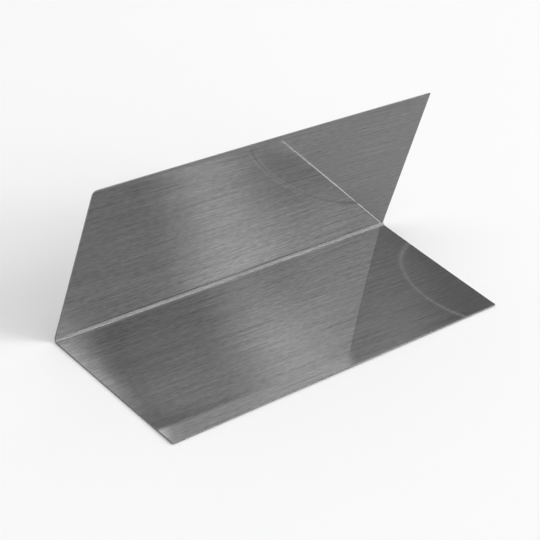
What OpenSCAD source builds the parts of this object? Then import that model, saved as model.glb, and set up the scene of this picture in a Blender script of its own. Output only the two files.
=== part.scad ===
// Step flashing: one piece of sheet metal, sheared from coil and folded once on a brake.
// The roof leaf lies under a shingle, the wall leaf stands against the side wall.
// X runs along the bend, the roof leaf reaches towards -Y and the wall leaf stands up.
// The origin is under the middle of the footprint, where the roof leaf rests.

/* [Blank] */
// Length of the blank, along the bend (7 in)
blank_l = 177.8; // [80:0.1:600]
// Width of the flat blank, across the bend (5 in)
blank_w = 127; // [60:0.1:400]
// Thickness of the sheet (26 gauge)
sheet_t = 0.48; // [0.3:0.01:1.5]
// Radius of the sheared corners
corner_r = 0.4; // [0.2:0.1:8]
// Radius of the wall leaf's left corner, which handling has dulled
dulled_corner_r = 1.8; // [0.2:0.1:8]

/* [Bend] */
// Included angle between the two leaves
bend_angle = 87.5; // [60:0.5:130]
// Inside radius of the bend
bend_r = 1.5; // [0.3:0.1:6]
// How far the bend lies off the blank's middle, so that the wall leaf is the wider one
bend_offset = 0.8; // [-10:0.1:10]
// Depth of the neutral line from the inside face, as a share of the thickness
k_factor = 0.4; // [0.33:0.01:0.5]

/* [Hidden] */

$fn = 128;
cut_over = 1;

// The sheet turns through this angle, and the bend uses up this much of the flat blank.
turn = 180 - bend_angle;
outer_r = bend_r + sheet_t;
bend_run = (bend_r + k_factor * sheet_t) * turn * PI / 180;

// Flat part of each leaf, from the bend's tangent line to the free edge.
wall_run = blank_w / 2 + bend_offset - bend_run / 2;
roof_run = blank_w / 2 - bend_offset - bend_run / 2;

// Rearmost point of the fold, measured from the roof leaf's tangent line. Past square, it is
// on the bend itself, and on an open bend it is the wall leaf's back top edge.
bend_back = turn >= 90 ? outer_r : outer_r * sin(turn);
wall_back = outer_r * sin(turn) + wall_run * cos(turn);
rear = max(bend_back, wall_back);
centre_y = (rear - roof_run) / 2;

// A square of the section, laid in the wall leaf's own direction from where the bend ends.
module along_wall() {
    translate([0, outer_r]) rotate(turn) translate([0, -outer_r]) children();
}

// The quarter of a ring, more or less, that joins the two leaves.
module bend_section() {
    reach = 2 * outer_r;
    translate([0, outer_r])
        intersection() {
            difference() {
                circle(outer_r);
                circle(bend_r);
            }
            polygon([
                [0, 0],
                for (part = [0 : 0.5 : 1]) reach * [sin(part * turn), -cos(part * turn)]
            ]);
        }
}

// Section across the bend: roof leaf, bend and wall leaf, of one thickness throughout.
module section() {
    translate([-roof_run, 0]) square([roof_run, sheet_t]);
    bend_section();
    along_wall() square([wall_run, sheet_t]);
}

// What a radius takes off a square corner at the origin, of a sheet towards -X and -Y.
module corner_waste(r) {
    translate([0, 0, -cut_over])
        linear_extrude(sheet_t + 2 * cut_over)
            difference() {
                translate([-r, -r]) square(r + cut_over);
                translate([-r, -r]) circle(r);
            }
}

// Waste of both free corners of a leaf that lies flat, with its tangent line on Y = 0.
module leaf_waste(run, left_r, right_r) {
    translate([blank_l / 2, run]) corner_waste(right_r);
    mirror([1, 0, 0]) translate([blank_l / 2, run]) corner_waste(left_r);
}

module flashing() {
    color([0.6, 0.6, 0.61])
        translate([0, -centre_y, 0])
            difference() {
                rotate([90, 0, 90])
                    translate([0, 0, -blank_l / 2])
                        linear_extrude(blank_l) section();
                mirror([0, 1, 0]) leaf_waste(roof_run, corner_r, corner_r);
                translate([0, 0, outer_r])
                    rotate([turn, 0, 0])
                        translate([0, 0, -outer_r])
                            leaf_waste(wall_run, dulled_corner_r, corner_r);
            }
}

flashing();
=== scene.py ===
"""Step flashing: one brushed steel sheet, folded from its flat blank, on a pale studio floor."""
import math

import bmesh
import bpy
from bpy.props import FloatProperty, FloatVectorProperty, IntProperty, PointerProperty
from mathutils import Matrix, Vector


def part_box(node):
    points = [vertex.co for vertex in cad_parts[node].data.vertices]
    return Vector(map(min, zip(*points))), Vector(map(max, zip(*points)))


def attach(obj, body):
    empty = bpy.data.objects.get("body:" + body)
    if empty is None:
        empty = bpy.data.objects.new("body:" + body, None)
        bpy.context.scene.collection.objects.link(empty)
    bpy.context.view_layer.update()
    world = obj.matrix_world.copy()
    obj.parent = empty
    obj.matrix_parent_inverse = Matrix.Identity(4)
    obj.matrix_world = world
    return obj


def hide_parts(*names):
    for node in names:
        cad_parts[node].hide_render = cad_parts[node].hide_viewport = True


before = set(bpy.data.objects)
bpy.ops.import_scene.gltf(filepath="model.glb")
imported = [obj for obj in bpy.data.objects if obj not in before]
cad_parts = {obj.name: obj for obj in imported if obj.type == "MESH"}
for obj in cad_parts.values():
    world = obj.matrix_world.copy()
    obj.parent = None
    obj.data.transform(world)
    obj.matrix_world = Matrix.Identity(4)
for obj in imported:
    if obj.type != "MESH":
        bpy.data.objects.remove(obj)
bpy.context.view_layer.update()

bl_info = {
    "name": "Step Flashing",
    "version": (1, 0, 0),
    "blender": (4, 5, 0),
    "location": "3D View > Sidebar > Flashing",
    "description": "Folds a step flashing from a sheared blank and sets it on a studio floor",
    "category": "Object",
}

# Lengths are in metres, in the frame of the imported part: X runs along the bend, the roof leaf
# reaches towards -Y and the wall leaf stands up.
MM = 0.001
LOW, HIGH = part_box("flashing")

# A point this near a mesh line lies on it.
ON_LINE = 1e-7
# A close mesh line beside each tangent line keeps the leaves' shading flat up to the bend.
BESIDE_BEND = 0.1 * MM
# Mesh lines beside the right edge, in shares of the width over which the shears drew it over.
ROLL_LINES = (1.2, 1, 0.75, 0.5, 0.25)
# The floor lies clear of that edge, which reaches 0.09 mm below the rest.
FLOOR_GAP = 0.1 * MM

# Brush lines are about 0.1 mm wide on the real sheet. They are drawn 0.4 to 0.5 mm wide, the
# finest that shows at the picture's scale: long lines, and short strokes that count for less.
#   length and width in millimetres, detail of the noise
LONG_LINES = (40, 0.42, 2)
SHORT_STROKES = (4, 0.45, 1)
STROKE_SHARE = 0.6
NOISE_ROUGHNESS = 0.6
# How far the noise strays from its mean where the brush lines reach their full contrast, and how
# deep the lines are.
NOISE_REACH = 0.24
BRUSH_DEPTH = 0.001 * MM

# The dull strip of the bend, in shares of the bend's width: how far its middle lies towards the
# wall leaf, and how far its core and its faded sides reach from there.
DULL_SHIFT = 0.04
DULL_CORE = 0.12
DULL_REACH = 0.5

# The painted reflection ring's centre, radius and width on the flat blank, in millimetres.
REFLECTION_RING_CENTRE = (96.4, -44.5, 0)
REFLECTION_RING_RADIUS = 31.6
REFLECTION_RING_WIDTH = 5

# The picture's camera. Heading turns from +Y towards +X, dip is below the horizon, and the whole
# picture is turned by the roll. The lens is in millimetres.
CAMERA_PLACE = (-0.48074, -0.33867, 0.3911)
CAMERA_HEADING = math.radians(53.658)
CAMERA_DIP = math.radians(32.249)
CAMERA_ROLL = math.radians(16.068)
CAMERA_LENS = 125.48

# Soft boxes. Each looks at the flashing from one direction, which is given by its part along the
# bend (1 is due +X) and its angle round the bend (0 is behind the wall leaf, 90 is overhead).
# Brightness 1 is as bright as a white card that renders white. Softness is the share of the
# width and of the height over which a box fades out at its sides.
# The key boxes make the pale bands in both leaves. The rear ones make the pale strip along the
# roof leaf's free edge, which mirrors what lies past the wall leaf. The front box lights the
# bend, and the edge box makes the light line where the roof leaf's end is mirrored. The overhead
# and left boxes light mostly the floor and the left end.
#   name, along, around, distance, width along the bend, height round it, brightness, softness
SOFT_BOXES = (
    ("key_box", 0.603, 124.2, 5, 2.04, 2.41, 3.7, (0.06, 0.75)),
    ("key_strip", 0.673, 140.5, 5, 0.34, 2.11, 2.0, (1, 0.24)),
    ("key_high_strip", 0.685, 132.1, 5, 0.36, 0.67, 2.0, (1, 0.23)),
    ("key_high_left", 0.562, 124.5, 5, 0.56, 0.76, 9.0, (1, 0.42)),
    ("key_top_strip", 0.684, 123.8, 5, 0.71, 1.01, 1.9, (0.6, 0.64)),
    ("key_top_right", 0.740, 124.8, 5, 0.59, 0.86, 0.74, (0.64, 0.23)),
    ("key_low_strip", 0.637, 138.4, 5, 1.27, 0.71, 2.0, (0.9, 0.14)),
    ("key_low_left", 0.559, 143.1, 5, 0.66, 1.59, 12.0, (1, 0.28)),
    ("key_low_right", 0.723, 140.4, 5, 0.78, 0.85, 2.9, (0.77, 0.13)),
    ("front_box", 0.72, 153, 5, 2.0, 0.90, 4.0, (0.3, 0.3)),
    ("edge_box", 0.83, 146, 5, 0.95, 1.2, 17.0, (0.3, 0.3)),
    ("side_box", 0.84, 123, 5, 1.5, 1.9, 2.0, (0.3, 0.3)),
    ("top_box", 0.68, 88, 5, 2.4, 1.9, 1.5, (0.2, 0.5)),
    ("overhead_box", 0.0, 90, 4, 2.6, 2.6, 1.3, (0.3, 0.3)),
    ("left_box", -0.60, 80, 5, 4.0, 4.0, 1.4, (0.3, 0.3)),
    ("rear_box", 0.656, 50, 5, 0.68, 1.30, 0.71, (0.15, 0.5)),
    ("rear_middle", 0.700, 52.7, 5, 0.87, 1.08, 0.53, (0.6, 1)),
    ("rear_left", 0.583, 50, 5, 0.38, 1.30, 3.3, (0.83, 0.5)),
)


def linear(hex_colour):
    """Turns an sRGB hex colour into linear red, green and blue."""
    parts = [int(hex_colour[i:i + 2], 16) / 255 for i in (1, 3, 5)]
    return [p / 12.92 if p <= 0.04045 else ((p + 0.055) / 1.055) ** 2.4 for p in parts]


class FlashingSheet(bpy.types.PropertyGroup):
    """Sizes of the blank and of its fold."""

    length: FloatProperty(
        name="Length", description="Length of the blank, along the bend",
        default=HIGH.x - LOW.x, min=0.05, unit="LENGTH", precision=4)
    thickness: FloatProperty(
        name="Thickness", description="Thickness of the sheet, 26 gauge",
        default=0.48 * MM, min=0.2 * MM, unit="LENGTH", precision=5)
    bend_angle: FloatProperty(
        name="Bend angle", description="Included angle between the two leaves",
        default=math.radians(87.5), min=math.radians(60), max=math.radians(130), subtype="ANGLE")
    bend_radius: FloatProperty(
        name="Bend radius", description="Inside radius of the bend",
        default=1.5 * MM, min=0.3 * MM, unit="LENGTH", precision=5)
    neutral_depth: FloatProperty(
        name="Neutral depth",
        description="Depth of the line that keeps its length, from the inside of the bend",
        default=0.4, min=0.33, max=0.5, subtype="FACTOR")
    corner_radius: FloatProperty(
        name="Corner radius", description="Radius of the sheared corners",
        default=0.4 * MM, min=0.1 * MM, unit="LENGTH", precision=5)
    dulled_radius: FloatProperty(
        name="Dulled corner",
        description="Radius of the wall leaf's left corner, dulled by handling",
        default=1.8 * MM, min=0.1 * MM, unit="LENGTH", precision=5)
    edge_radius: FloatProperty(
        name="Edge radius", description="Radius to which shearing draws the sheet's edges over",
        default=0.1 * MM, min=0.02 * MM, unit="LENGTH", precision=5)
    roll_width: FloatProperty(
        name="Roll width", description="Width over which the shears drew the right end over",
        default=0.8 * MM, min=0.05 * MM, unit="LENGTH", precision=5)
    roll_drop: FloatProperty(
        name="Roll drop", description="How far the shears drew the right end over",
        default=0.09 * MM, min=0, unit="LENGTH", precision=5)
    droop_width: FloatProperty(
        name="Droop width", description="Width over which the roof leaf's ends droop",
        default=9 * MM, min=1 * MM, unit="LENGTH", precision=4)
    droop: FloatProperty(
        name="Droop", description="How far the roof leaf's ends droop, halfway to its free edge",
        default=0.06 * MM, min=0, unit="LENGTH", precision=5)
    roof_curl: FloatProperty(
        name="Roof leaf curl", description="Rise of the roof leaf's free edge from end to end",
        default=0.27 * MM, unit="LENGTH", precision=5)
    roof_bow: FloatProperty(
        name="Roof leaf bow", description="Rise of the roof leaf's free edge in its middle",
        default=0.29 * MM, unit="LENGTH", precision=5)
    wall_bow: FloatProperty(
        name="Wall leaf bow",
        description="How far the wall leaf's top edge leans back in its middle",
        default=0.27 * MM, unit="LENGTH", precision=5)
    cell: FloatProperty(
        name="Cell", description="Spacing of the mesh lines on the leaves",
        default=4 * MM, min=1 * MM, unit="LENGTH", precision=4)
    bend_steps: IntProperty(
        name="Bend steps", description="Number of strips that make up the bend", default=16, min=4)


class BrushedSteel(bpy.types.PropertyGroup):
    """Finish of the sheet."""

    colour: FloatVectorProperty(
        name="Colour", description="Colour of the metal where it reflects white",
        default=linear("#747474"), size=3, min=0, max=1, subtype="COLOR")
    roughness: FloatProperty(
        name="Roughness", description="Softness of the reflections, least along the brush lines",
        default=0.03, min=0.02, max=1, subtype="FACTOR")
    bend_roughness: FloatProperty(
        name="Bend roughness",
        description="Softness of the reflections where the bend stretched the sheet",
        default=0.42, min=0.02, max=1, subtype="FACTOR")
    edge_colour: FloatVectorProperty(
        name="Edge colour", description="Colour of the sheared edges where they reflect white",
        default=linear("#868686"), size=3, min=0, max=1, subtype="COLOR")
    edge_roughness: FloatProperty(
        name="Edge roughness", description="Softness of the reflections on the sheared edges",
        default=0.5, min=0.02, max=1, subtype="FACTOR")
    grain_angle: FloatProperty(
        name="Grain angle", description="How far the brush lines are turned from the bend",
        default=math.radians(2.2), subtype="ANGLE")
    grain_contrast: FloatProperty(
        name="Grain contrast", description="Share by which the brush lines are darker or lighter",
        default=0.21, min=0, max=0.5, subtype="FACTOR")
    # The ring near the roof leaf's right end is a painted reflection: it is painted lighter, and made
    # duller.
    ring_roughness: FloatProperty(
        name="Ring roughness", description="Softness of the reflections in the rubbed ring",
        default=0.25, min=0.02, max=1, subtype="FACTOR")
    painted_reflection_contrast: FloatProperty(
        name="Ring contrast", description="Share by which the rubbed ring near one end is lighter",
        default=0.1, min=0, max=0.5, subtype="FACTOR")


class FlashingStudio(bpy.types.PropertyGroup):
    """Floor and surroundings."""

    floor_colour: FloatVectorProperty(
        name="Floor colour", description="Colour of the floor",
        default=linear("#f4f4f4"), size=3, min=0, max=1, subtype="COLOR")
    floor_size: FloatProperty(
        name="Floor size", description="Side of the square floor",
        default=12, min=1, unit="LENGTH")
    surroundings: FloatProperty(
        name="Surroundings", description="Brightness of the room around the floor, 1 being white",
        default=0.5, min=0, max=1, subtype="FACTOR")


def add_node(tree, kind, settings=None, values=None, links=None):
    """Adds a node, with its settings, its inputs' values, and its links as (node, output)."""
    node = tree.nodes.new(kind)
    for name, value in (settings or {}).items():
        setattr(node, name, value)
    for socket, value in (values or {}).items():
        node.inputs[socket].default_value = value
    for socket, (source, output) in (links or {}).items():
        tree.links.new(source.outputs[output], node.inputs[socket])
    return node


def fade_off(tree, value, middle, near, far, levels):
    """Fades a value from one level to another as it moves from near its middle to far from it."""
    offset = add_node(tree, "ShaderNodeMath", {"operation": "SUBTRACT"}, {1: middle}, {0: value})
    distance = add_node(tree, "ShaderNodeMath", {"operation": "ABSOLUTE"}, links={0: (offset, 0)})
    return add_node(tree, "ShaderNodeMapRange", {"interpolation_type": "SMOOTHSTEP"},
                    {"From Min": near, "From Max": far, "To Min": levels[0], "To Max": levels[1]},
                    {"Value": (distance, 0)})


def new_material(name):
    """Makes an empty node material and returns it with its tree."""
    material = bpy.data.materials.new(name)
    material.use_nodes = True
    material.node_tree.nodes.clear()
    return material, material.node_tree


def brushed_steel(finish, bend_run):
    """Steel sheet, brushed with an abrasive belt along the coil.

    The lines keep reflections clear along the bend and draw them out across it, so a soft box
    shows as a pale band that runs up both leaves. Where the sheet was bent it is duller, and so
    the bend shows as an even, pale strip.
    """
    material, tree = new_material("brushed_steel")
    flat = add_node(tree, "ShaderNodeUVMap", {"uv_map": "blank"})
    lines = add_node(tree, "ShaderNodeMapping", {"vector_type": "POINT"},
                     {"Rotation": (0, 0, finish.grain_angle)}, {"Vector": (flat, "UV")})

    grain = []
    for length, width, detail in (LONG_LINES, SHORT_STROKES):
        scale = add_node(tree, "ShaderNodeVectorMath", {"operation": "MULTIPLY"},
                         {1: (1 / length, 1 / width, 0)}, {0: (lines, "Vector")})
        grain.append(add_node(tree, "ShaderNodeTexNoise", {"noise_dimensions": "2D"},
                              {"Scale": 1, "Detail": detail, "Roughness": NOISE_ROUGHNESS},
                              {"Vector": (scale, "Vector")}))
    both = add_node(tree, "ShaderNodeMath", {"operation": "MULTIPLY_ADD"}, {1: STROKE_SHARE},
                    {0: (grain[1], "Fac"), 2: (grain[0], "Fac")})

    # The mean of each noise is 0.5.
    mean = 0.5 * (1 + STROKE_SHARE)
    shade = add_node(tree, "ShaderNodeMapRange", {"clamp": False},
                     {"From Min": mean - NOISE_REACH, "From Max": mean + NOISE_REACH,
                      "To Min": 1 - finish.grain_contrast, "To Max": 1 + finish.grain_contrast},
                     {"Value": (both, 0)})

    # A painted reflection: part of a faint ring on the roof leaf's right end is painted lighter
    # than the brushed metal around it, and it is also made duller.
    from_ring = add_node(tree, "ShaderNodeVectorMath", {"operation": "DISTANCE"},
                        {1: REFLECTION_RING_CENTRE}, {0: (flat, "UV")})
    painted_reflection = fade_off(tree, (from_ring, "Value"), REFLECTION_RING_RADIUS, 0, REFLECTION_RING_WIDTH / 2,
                   (1 + finish.painted_reflection_contrast, 1))
    lightened = add_node(tree, "ShaderNodeMath", {"operation": "MULTIPLY"},
                      links={0: (shade, "Result"), 1: (painted_reflection, "Result")})
    colour = add_node(tree, "ShaderNodeVectorMath", {"operation": "SCALE"},
                      {0: tuple(finish.colour)}, {"Scale": (lightened, 0)})

    across = add_node(tree, "ShaderNodeSeparateXYZ", links={0: (flat, "UV")})
    bend_dulled = fade_off(tree, (across, "Y"), (0.5 + DULL_SHIFT) * bend_run / MM,
                           DULL_CORE * bend_run / MM, DULL_REACH * bend_run / MM,
                           (finish.bend_roughness, finish.roughness))
    ring_dulled = fade_off(tree, (from_ring, "Value"), REFLECTION_RING_RADIUS, 0, REFLECTION_RING_WIDTH / 2,
                          (finish.ring_roughness, 0))
    roughness = add_node(tree, "ShaderNodeMath", {"operation": "MAXIMUM"},
                         links={0: (bend_dulled, "Result"), 1: (ring_dulled, "Result")})

    bump = add_node(tree, "ShaderNodeBump", values={"Strength": 1, "Distance": BRUSH_DEPTH},
                    links={"Height": (both, 0)})
    # The tangent runs along the bend, and the quarter turn draws reflections out across it.
    tangent = add_node(tree, "ShaderNodeTangent", {"direction_type": "UV_MAP", "uv_map": "blank"})
    shader = add_node(tree, "ShaderNodeBsdfPrincipled", None,
                      {"Metallic": 1, "Anisotropic": 1, "Anisotropic Rotation": 0.25},
                      {"Base Color": (colour, 0), "Roughness": (roughness, "Value"),
                       "Normal": (bump, "Normal"), "Tangent": (tangent, "Tangent")})
    add_node(tree, "ShaderNodeOutputMaterial", links={"Surface": (shader, "BSDF")})
    return material


def sheared_steel(finish):
    """Bare steel, cut and torn by the shears.

    It is paler and duller than the brushed faces, so a cut edge shows as a fine, pale line.
    """
    material, tree = new_material("sheared_steel")
    shader = add_node(tree, "ShaderNodeBsdfPrincipled", None,
                      {"Base Color": (*finish.edge_colour, 1), "Metallic": 1,
                       "Roughness": finish.edge_roughness})
    add_node(tree, "ShaderNodeOutputMaterial", links={"Surface": (shader, "BSDF")})
    return material


def painted_floor(studio):
    """Matt emulsion paint on a smooth board, which shows a soft shadow and no reflection."""
    material, tree = new_material("painted_floor")
    shader = add_node(tree, "ShaderNodeBsdfPrincipled", None,
                      {"Base Color": (*studio.floor_colour, 1), "Roughness": 0.9,
                       "Specular IOR Level": 0.2})
    add_node(tree, "ShaderNodeOutputMaterial", links={"Surface": (shader, "BSDF")})
    return material


def spaced(start, end, cell):
    """Even places between two ends, without the ends, at most one cell apart."""
    count = math.ceil((end - start) / cell)
    return [start + (end - start) * i / count for i in range(1, count)]


def cut_blank(sheet, roof_run, bend_run, wall_run):
    """Shears the flat blank and rules its mesh lines. The bend begins at Y = 0."""
    bm = bmesh.new()
    bmesh.ops.create_grid(bm, x_segments=1, y_segments=1, size=0.5)
    width = roof_run + bend_run + wall_run
    bmesh.ops.scale(bm, verts=bm.verts, vec=(sheet.length, width, 1))
    bmesh.ops.translate(bm, verts=bm.verts, vec=(0, width / 2 - roof_run, 0))
    dulled = [v for v in bm.verts if v.co.x < 0 < v.co.y]
    sharp = [v for v in bm.verts if v not in dulled]
    for corners, radius in ((dulled, sheet.dulled_radius), (sharp, sheet.corner_radius)):
        bmesh.ops.bevel(bm, geom=corners, offset=radius, offset_type="OFFSET", segments=6,
                        profile=0.5, affect="VERTICES", material=-1)

    wall_start = bend_run + BESIDE_BEND
    rows = spaced(-roof_run, -BESIDE_BEND, sheet.cell) + [-BESIDE_BEND]
    rows += [bend_run * i / sheet.bend_steps for i in range(sheet.bend_steps + 1)]
    rows += [wall_start] + spaced(wall_start, bend_run + wall_run, sheet.cell)
    end = sheet.length / 2
    columns = spaced(-end, end, sheet.cell)
    columns += [end - sheet.roll_width * share for share in ROLL_LINES]
    for places, axis in ((rows, Vector((0, 1, 0))), (columns, Vector((1, 0, 0)))):
        for place in places:
            bmesh.ops.bisect_plane(bm, geom=bm.verts[:] + bm.edges[:] + bm.faces[:],
                                   dist=ON_LINE, plane_co=axis * place, plane_no=axis)
    return bm


def map_blank(bm):
    """Keeps each point's place on the flat blank, in millimetres, as the piece's UV map."""
    layer = bm.loops.layers.uv.new("blank")
    for face in bm.faces:
        face.smooth = True
        for loop in face.loops:
            loop[layer].uv = loop.vert.co.xy / MM


def bow_leaves(bm, sheet, roof_run, bend_run, wall_run):
    """Gives each leaf the slight bow of thin sheet, and draws the right end over, as shears do.

    The bows grow from the bend to the free edges, and the droop is most halfway between them.
    """
    roll_start = sheet.length / 2 - sheet.roll_width
    droop_start = sheet.length / 2 - sheet.droop_width
    for vert in bm.verts:
        rolled = max(0, vert.co.x - roll_start) / sheet.roll_width
        vert.co.z -= sheet.roll_drop * rolled ** 2
        middle = 1 - (2 * vert.co.x / sheet.length) ** 2
        if vert.co.y < 0:
            out = -vert.co.y / roof_run
            drooped = max(0, abs(vert.co.x) - droop_start) / sheet.droop_width
            # This is 1 halfway to the free edge, and 0 at the bend and at that edge.
            halfway = 4 * out * (1 - out)
            vert.co.z += (sheet.roof_curl + sheet.roof_bow * middle) * out ** 2
            vert.co.z -= sheet.droop * drooped ** 2 * halfway
        elif vert.co.y > bend_run:
            vert.co.z -= sheet.wall_bow * middle * ((vert.co.y - bend_run) / wall_run) ** 2


def fold_blank(bm, turn, bend_run, steps):
    """Folds the blank upwards in small steps, from the bend's far side back to the roof leaf."""
    rows = [bend_run * i / steps for i in range(steps + 1)]
    beyond = [[v for v in bm.verts if v.co.y > row + ON_LINE] for row in rows]
    for i in reversed(range(steps + 1)):
        share = 0.5 if i in (0, steps) else 1
        bmesh.ops.rotate(bm, verts=beyond[i], cent=(0, rows[i], 0),
                         matrix=Matrix.Rotation(share * turn / steps, 3, "X"))


class FLASHING_OT_fold_sheet(bpy.types.Operator):
    """Shear the blank, fold it along its bend and give it its brushed finish"""

    bl_idname = "flashing.fold_sheet"
    bl_label = "Fold Sheet"

    def execute(self, context):
        sheet, finish = context.scene.flashing_sheet, context.scene.flashing_finish
        turn = math.pi - sheet.bend_angle
        outer_radius = sheet.bend_radius + sheet.thickness
        bend_run = (sheet.bend_radius + sheet.neutral_depth * sheet.thickness) * turn
        # Each leaf's run, from its tangent line to its free edge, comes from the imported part's box.
        tangent_y = HIGH.y - outer_radius
        roof_run = tangent_y - LOW.y
        wall_run = (HIGH.z - outer_radius * (1 - math.cos(turn))) / math.sin(turn)
        if min(roof_run, wall_run) <= sheet.cell:
            raise ValueError("The bend leaves no room for the two leaves")

        bm = cut_blank(sheet, roof_run, bend_run, wall_run)
        map_blank(bm)
        bow_leaves(bm, sheet, roof_run, bend_run, wall_run)
        fold_blank(bm, turn, bend_run, sheet.bend_steps)
        under_neutral = (1 - sheet.neutral_depth) * sheet.thickness
        bmesh.ops.translate(bm, verts=bm.verts, vec=(0, tangent_y, under_neutral))

        mesh = bpy.data.meshes.new("flashing_sheet")
        bm.to_mesh(mesh)
        bm.free()
        mesh.materials.append(brushed_steel(finish, bend_run))
        mesh.materials.append(sheared_steel(finish))
        piece = bpy.data.objects.new("flashing_sheet", mesh)
        context.scene.collection.objects.link(piece)

        # The blank's mesh is the line that keeps its length, so the wall grows to both sides.
        wall = piece.modifiers.new("wall", "SOLIDIFY")
        wall.thickness = sheet.thickness
        wall.offset = 2 * sheet.neutral_depth - 1
        wall.use_even_offset = True
        wall.material_offset_rim = 1
        edge = piece.modifiers.new("edge", "BEVEL")
        edge.width = sheet.edge_radius
        edge.segments = 3
        edge.limit_method = "ANGLE"
        edge.angle_limit = math.radians(50)
        edge.harden_normals = True

        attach(piece, "root")
        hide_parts("flashing")
        return {"FINISHED"}


def add_floor(context, studio):
    """Lays the floor under the sheet."""
    mesh = bpy.data.meshes.new("floor")
    bm = bmesh.new()
    bmesh.ops.create_grid(bm, x_segments=1, y_segments=1, size=studio.floor_size / 2)
    bmesh.ops.translate(bm, verts=bm.verts, vec=(0, 0, LOW.z - FLOOR_GAP))
    bm.to_mesh(mesh)
    bm.free()
    mesh.materials.append(painted_floor(studio))
    floor = bpy.data.objects.new("floor", mesh)
    context.scene.collection.objects.link(floor)


def fade_sides(lamp, softness):
    """Fades a lamp out over a share of its width and of its height, as a soft box does.

    Places on the lamp run from 0 to 1, so its middle is at 0.5 and its sides are 0.5 from there.
    """
    lamp.use_nodes = True
    tree = lamp.node_tree
    tree.nodes.clear()
    place = add_node(tree, "ShaderNodeNewGeometry")
    sides = add_node(tree, "ShaderNodeSeparateXYZ", links={0: (place, "Parametric")})
    fades = [fade_off(tree, (sides, side), 0.5, 0.5 - share / 2, 0.5, (1, 0))
             for side, share in zip("XY", softness)]
    both = add_node(tree, "ShaderNodeMath", {"operation": "MULTIPLY"},
                    links={0: (fades[0], "Result"), 1: (fades[1], "Result")})
    light = add_node(tree, "ShaderNodeEmission", None, {"Color": (1, 1, 1, 1)},
                     {"Strength": (both, 0)})
    add_node(tree, "ShaderNodeOutputLight", links={"Surface": (light, 0)})


def add_soft_box(context, name, along, around, distance, width, height, brightness, softness):
    """Hangs a soft box in its direction from the sheet, facing it."""
    angle = math.radians(around)
    across = math.sqrt(1 - along ** 2)
    away = Vector((along, across * math.cos(angle), across * math.sin(angle)))
    upright = Vector((0, -math.sin(angle), math.cos(angle)))
    sideways = upright.cross(away)
    lamp = bpy.data.lights.new(name, "AREA")
    lamp.shape = "RECTANGLE"
    lamp.size, lamp.size_y = width, height
    # At pi watts to the square metre, a lamp is as bright as white.
    lamp.energy = brightness * math.pi * width * height
    fade_sides(lamp, softness)
    box = bpy.data.objects.new(name, lamp)
    box.matrix_world = Matrix.Translation((LOW + HIGH) / 2 + distance * away) @ Matrix(
        (sideways, upright, away)).transposed().to_4x4()
    box.visible_camera = False
    context.scene.collection.objects.link(box)


def add_surroundings(context, studio):
    """Gives the room around the floor one even, pale brightness."""
    world = bpy.data.worlds.new("studio")
    world.use_nodes = True
    world.node_tree.nodes.clear()
    light = add_node(world.node_tree, "ShaderNodeBackground", None,
                     {"Color": (1, 1, 1, 1), "Strength": studio.surroundings})
    add_node(world.node_tree, "ShaderNodeOutputWorld", links={"Surface": (light, 0)})
    context.scene.world = world


def add_camera(context):
    """Sets up the picture's camera."""
    data = bpy.data.cameras.new("camera")
    data.lens = CAMERA_LENS
    data.clip_start, data.clip_end = 0.05, 30
    camera = bpy.data.objects.new("camera", data)
    camera.matrix_world = (Matrix.Translation(CAMERA_PLACE)
                           @ Matrix.Rotation(-CAMERA_HEADING, 4, "Z")
                           @ Matrix.Rotation(math.pi / 2 - CAMERA_DIP, 4, "X")
                           @ Matrix.Rotation(CAMERA_ROLL, 4, "Z"))
    context.scene.collection.objects.link(camera)
    context.scene.camera = camera


class FLASHING_OT_set_stage(bpy.types.Operator):
    """Lay the floor, hang the soft boxes and set up the camera"""

    bl_idname = "flashing.set_stage"
    bl_label = "Set Stage"

    def execute(self, context):
        studio = context.scene.flashing_studio
        add_floor(context, studio)
        add_surroundings(context, studio)
        for soft_box in SOFT_BOXES:
            add_soft_box(context, *soft_box)
        add_camera(context)
        context.scene.view_settings.view_transform = "Standard"
        return {"FINISHED"}


class FLASHING_PT_sidebar(bpy.types.Panel):
    """Sizes, finish and studio of the step flashing"""

    bl_idname = "FLASHING_PT_sidebar"
    bl_label = "Step Flashing"
    bl_space_type = "VIEW_3D"
    bl_region_type = "UI"
    bl_category = "Flashing"

    def draw(self, context):
        for group, operator in (("flashing_sheet", None),
                                ("flashing_finish", FLASHING_OT_fold_sheet),
                                ("flashing_studio", FLASHING_OT_set_stage)):
            settings = getattr(context.scene, group)
            column = self.layout.column(align=True)
            for name in settings.__annotations__:
                column.prop(settings, name)
            if operator:
                self.layout.operator(operator.bl_idname)


CLASSES = (FlashingSheet, BrushedSteel, FlashingStudio,
           FLASHING_OT_fold_sheet, FLASHING_OT_set_stage, FLASHING_PT_sidebar)


def register():
    """Registers the classes and puts their settings on the scene."""
    for cls in CLASSES:
        bpy.utils.register_class(cls)
    bpy.types.Scene.flashing_sheet = PointerProperty(type=FlashingSheet)
    bpy.types.Scene.flashing_finish = PointerProperty(type=BrushedSteel)
    bpy.types.Scene.flashing_studio = PointerProperty(type=FlashingStudio)


def unregister():
    """Takes the settings and the classes away again."""
    for name in ("flashing_sheet", "flashing_finish", "flashing_studio"):
        delattr(bpy.types.Scene, name)
    for cls in reversed(CLASSES):
        bpy.utils.unregister_class(cls)


def main():
    """Builds the scene."""
    register()
    bpy.ops.flashing.fold_sheet()
    bpy.ops.flashing.set_stage()


if __name__ == "__main__":
    main()
